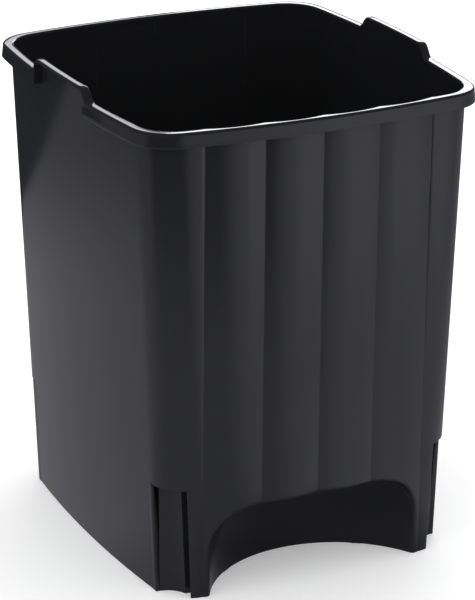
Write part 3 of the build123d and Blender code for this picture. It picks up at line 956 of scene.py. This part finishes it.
bucket_black = plastic("bucket_polypropylene", colour=(0.0118, 0.0121, 0.0132), rough=0.11,
                       rough_change=0.02, bump=0.08, scuff_share=0.35, dust_share=0.04)
rim_black = plastic("rim_polypropylene", colour=(0.0105, 0.0108, 0.0118), rough=0.08,
                    rough_change=0.02, bump=0.05, scuff_share=0.2, dust_share=0.04)
for piece, finish in ((tub_piece, bucket_black), (lining_piece, bucket_black),
                      (rim_piece, rim_black), (skirt_piece, rim_black)):
    piece.data.materials.append(finish)
for name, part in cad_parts.items():
    part.data.materials.clear()
    part.data.materials.append(rim_black if "rim" in name or "grip" in name else bucket_black)
print("finishes", [m.name for m in (bucket_black, rim_black)])

# %% [markdown]
# ## Studio
# A black glossy object looks like what it mirrors. The walls lean, so seen from above they mirror
# the table, and the flat rim mirrors a light behind the object. The pale floor is therefore kept
# out of reflections, and a second sheet in the same place, seen only in reflections, glows with a
# painted reflection of the table: brighter towards the right, darker towards the left, and ending
# at a table edge.
# Lights alone could do it, but each would also brighten the floor.

# %% Pale floor
SHEET_HALF = 30           # metres; far enough for the horizon of a low view
WIDE = [(-SHEET_HALF, -SHEET_HALF), (SHEET_HALF, -SHEET_HALF), (SHEET_HALF, SHEET_HALF),
        (-SHEET_HALF, SHEET_HALF)]


def stage_sheet(name, corners, height=0.0):
    """A flat sheet of the studio, from its corner points in metres."""
    sheet = bmesh.new()
    bmesh.ops.contextual_create(sheet, geom=[sheet.verts.new((x, y, height)) for x, y in corners])
    mesh = bpy.data.meshes.new(name)
    sheet.to_mesh(mesh)
    sheet.free()
    made = bpy.data.objects.new(name, mesh)
    bpy.context.scene.collection.objects.link(made)
    return made


floor = stage_sheet("studio_floor", WIDE)
floor.visible_glossy = False
pale = bpy.data.materials.new("studio_pale")
pale.use_nodes = True
for socket, value in (("Base Color", (0.92, 0.92, 0.92, 1)), ("Roughness", 0.9),
                      ("Emission Color", (1, 1, 1, 1)), ("Emission Strength", 0.25)):
    pale.node_tree.nodes["Principled BSDF"].inputs[socket].default_value = value
floor.data.materials.append(pale)
print("floor", floor.name)

# %% [markdown]
# ## The glowing sheet that paints the table's reflection
# Its painted glow depends on the direction from the bucket and on the distance. A radial gradient
# gives the direction, and one colour ramp holds the painted reflection tones near the foot and
# another those further out, because the lower part of a leaning wall mirrors the near table and
# its upper part the far one.

# %% Glowing sheets
def glow_sheet(name, corners, height):
    """A sheet that only reflections see, glowing to paint a reflection; returns its node tree and its
    Emission node.
    """
    sheet = stage_sheet(name, corners, height)
    for seen_by in ("camera", "diffuse", "shadow", "transmission"):
        setattr(sheet, "visible_" + seen_by, False)
    glow = bpy.data.materials.new(name + "_glow")
    glow.use_nodes = True
    tree = glow.node_tree
    tree.nodes.remove(tree.nodes["Principled BSDF"])
    emit = node(tree, "ShaderNodeEmission")
    tree.links.new(emit.outputs[0], tree.nodes["Material Output"].inputs["Surface"])
    sheet.data.materials.append(glow)
    return tree, emit


COOL = (0.97, 0.97, 1.07)  # every painted reflection tone is a little blue


def ring(tree, stops):
    """A painted reflection tone for each direction round the object: left 0, front 0.25, right 0.5, back
    0.75.
    """
    ramp = node(tree, "ShaderNodeValToRGB")
    elements = ramp.color_ramp.elements
    while len(elements) < len(stops):
        elements.new(0.5)
    for element, (where, level) in zip(elements, stops):
        element.position = where
        element.color = (*[level * part for part in COOL], 1)
    return ramp


# %% Painted reflection tones of the table sheet
NEAR = [(0.00, 0.43), (0.08, 0.33), (0.24, 0.33), (0.275, 0.54), (0.32, 0.65), (0.375, 0.60),
        (0.411, 0.55), (0.456, 0.42), (0.54, 0.22), (0.75, 0.26), (0.80, 0.40), (0.917, 0.41),
        (1.00, 0.43)]
FAR = [(0.00, 0.34), (0.045, 0.06), (0.232, 0.06), (0.272, 0.47), (0.30, 0.66), (0.325, 0.88),
       (0.375, 0.82), (0.411, 0.60), (0.456, 0.36), (0.54, 0.24), (0.75, 0.14), (0.90, 0.20),
       (1.00, 0.33)]
NEAR_ENDS, FAR_STARTS = 0.50, 1.02   # metres from the middle of the bucket
tree, emit = glow_sheet("painted_table_reflection", WIDE, 0.0)
place = node(tree, "ShaderNodeTexCoord")
around_it = node(tree, "ShaderNodeTexGradient", gradient_type="RADIAL")
reach = node(tree, "ShaderNodeVectorMath", operation="LENGTH")
blend_out = node(tree, "ShaderNodeMapRange", interpolation_type="SMOOTHSTEP",
                 From_Min=NEAR_ENDS, From_Max=FAR_STARTS)
near_ramp, far_ramp = ring(tree, NEAR), ring(tree, FAR)
tone_mix = node(tree, "ShaderNodeMix", data_type="RGBA")
link = tree.links.new
link(place.outputs["Object"], around_it.inputs["Vector"])
link(place.outputs["Object"], reach.inputs[0])
link(reach.outputs["Value"], blend_out.inputs["Value"])
link(blend_out.outputs[0], tone_mix.inputs[FACTOR])
for ramp, socket in ((near_ramp, COLOUR_A), (far_ramp, COLOUR_B)):
    link(around_it.outputs["Fac"], ramp.inputs["Fac"])
    link(ramp.outputs["Color"], tone_mix.inputs[socket])
link(tone_mix.outputs[COLOUR_OUT], emit.inputs["Color"])
print("tones near and far", len(NEAR), len(FAR))

# %% Painted shade and the table's edge
# painted shade: the table sheet's glow is dimmed round the arched recess, where the object would shade
# the table
RECESS_MIDDLE = (0.02, -0.12, 0)
SHADE_FROM, SHADE_TO, SHADE_LEAST = 0.04, 0.17, 0.15
recess_reach = node(tree, "ShaderNodeVectorMath", operation="DISTANCE")
recess_reach.inputs[1].default_value = RECESS_MIDDLE
foot_shade = node(tree, "ShaderNodeMapRange", interpolation_type="SMOOTHSTEP",
                  From_Min=SHADE_FROM, From_Max=SHADE_TO, To_Min=SHADE_LEAST)
link(place.outputs["Object"], recess_reach.inputs[0])
link(recess_reach.outputs["Value"], foot_shade.inputs["Value"])
link(foot_shade.outputs[0], emit.inputs["Strength"])

# painted dark reflection: the table sheet ends behind the object on the left, and beyond this edge a dim
# glowing sheet paints reflections dark
DARK_REFLECTION_SHEET = [(0.10, 0.527), (-1.60, 1.783), (-1.60, 6), (0.10, 6)]
_, emit = glow_sheet("painted_dark_reflection", DARK_REFLECTION_SHEET, 0.001)
emit.inputs["Color"].default_value = (0.035, 0.036, 0.045, 1)

# %% [markdown]
# ## Sky and lights
# A plain white sky lights the floor and gives the soft shadow. The rim's flat top mirrors what
# stands low behind the bucket, so two softboxes there draw its light line: a bright one for the
# front and the right, and a dim one for the left. Their lower edges are just high enough that the
# rim's back run mirrors the dark below them.

# %% Sky
SKY_MIRRORED = 0.10       # reflections find the sky this dim, so that only the softboxes draw the line
world = bpy.data.worlds.new("studio")
bpy.context.scene.world = world
world.use_nodes = True
wt = world.node_tree
sky = wt.nodes["Background"]
sky.inputs["Color"].default_value = (1, 1, 1, 1)
ray = node(wt, "ShaderNodeLightPath")
dim = node(wt, "ShaderNodeMapRange", To_Min=1.0, To_Max=SKY_MIRRORED)
wt.links.new(ray.outputs["Is Glossy Ray"], dim.inputs["Value"])
wt.links.new(dim.outputs[0], sky.inputs["Strength"])
print("world", world.name)

# %% Softboxes
FACED = Vector((0, 0, 0.35))  # the point that both softboxes face, at the height of the rim
FAINT_VIOLET = (0.95, 0.94, 1.0)


def softbox(name, place, width, height, power):
    """A large rectangular light that faces the middle of the rim."""
    lamp = bpy.data.lights.new(name, "AREA")
    lamp.shape = "RECTANGLE"
    lamp.size, lamp.size_y, lamp.energy = width, height, power
    lamp.color = FAINT_VIOLET
    made = bpy.data.objects.new(name, lamp)
    made.location = place
    made.rotation_mode = "QUATERNION"
    made.rotation_quaternion = (Vector(place) - FACED).to_track_quat("Z", "Y")
    made.visible_camera = False
    bpy.context.scene.collection.objects.link(made)
    print(name, power, "W")


softbox("back_softbox", (1.27, 1.61, 1.10), width=1.1, height=0.55, power=10.0)
softbox("left_softbox", (0.52, 2.03, 1.10), width=0.6, height=0.42, power=2.0)

# %% [markdown]
# ## Camera
# A long lens from a little over two metres, turned round the front left corner and looking down
# on the rim. The place is given as a direction and a distance from a target near the middle of the
# bucket, because those can be changed one at a time. The Standard view keeps black plastic black.

# %% Camera and view
bpy.context.scene.view_settings.view_transform = "Standard"
SENSOR, LENS = 36, 178.122  # millimetres; the sensor's height and the focal length
camera_data = bpy.data.cameras.new("camera")
camera = bpy.data.objects.new("camera", camera_data)
bpy.context.scene.collection.objects.link(camera)
AZ, EL, ROLL, DIST = radians(-26.01), radians(20.54), radians(0.17), 2.2441
TARGET = Vector((0.00425, 0.0, 0.16943))
back = Vector((sin(AZ) * cos(EL), -cos(AZ) * cos(EL), sin(EL)))
camera.location = TARGET + DIST * back
turn = back.to_track_quat("Z", "Y")
camera.rotation_mode = "QUATERNION"
camera.rotation_quaternion = turn @ Quaternion((0, 0, 1), ROLL)
camera_data.sensor_fit = "VERTICAL"
camera_data.sensor_height = SENSOR
camera_data.lens = LENS
camera_data.clip_start, camera_data.clip_end = 0.05, 100
bpy.context.scene.camera = camera
print("camera at", [round(v, 3) for v in camera.location])
